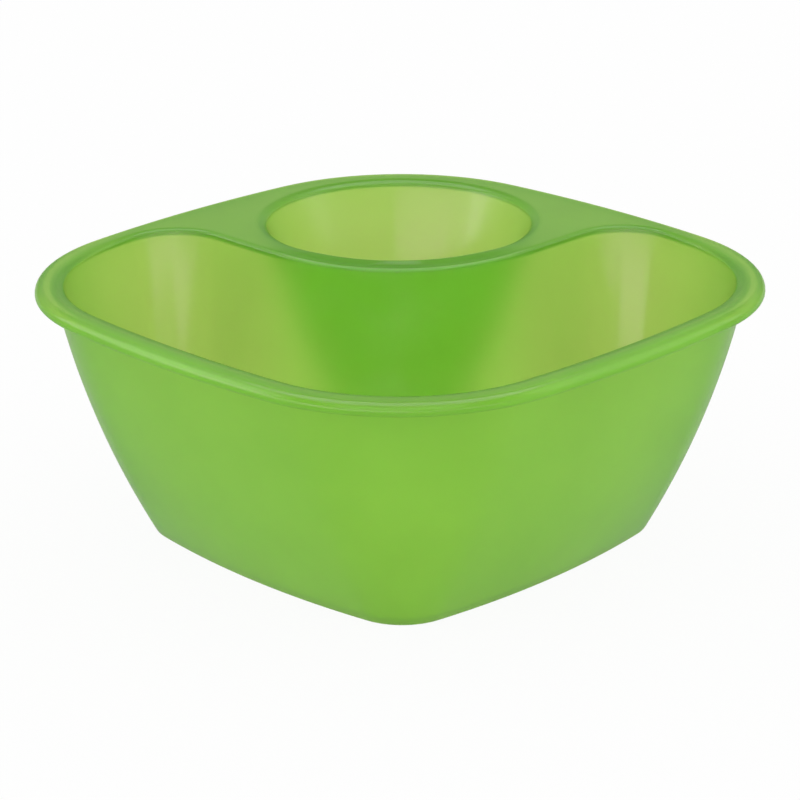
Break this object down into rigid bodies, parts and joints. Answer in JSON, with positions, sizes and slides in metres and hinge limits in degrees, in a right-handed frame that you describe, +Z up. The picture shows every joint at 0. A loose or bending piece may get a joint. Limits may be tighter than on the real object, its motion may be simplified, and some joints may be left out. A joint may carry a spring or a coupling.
{
  "type": "chip and dip server",
  "caption": "Square one-piece serving bowl with bowed sides, a flared chip well and a round dip cup sunk in the flat deck of its rear corner.",
  "frame": {"origin": "centre of the square on the table, at the underside of the base", "axes": "+Z up from the table; X and Y along the square's sides, with the dip cup in the +X +Y corner"},
  "size_m": [0.27, 0.27, 0.112],
  "materials": {
    "lime_plastic": "translucent satin lime green"
  },
  "bodies": {
    "root": {"chip_bowl": "lime_plastic", "dip_cup": "lime_plastic", "rim_deck": "lime_plastic"}
  },
  "joints": []
}
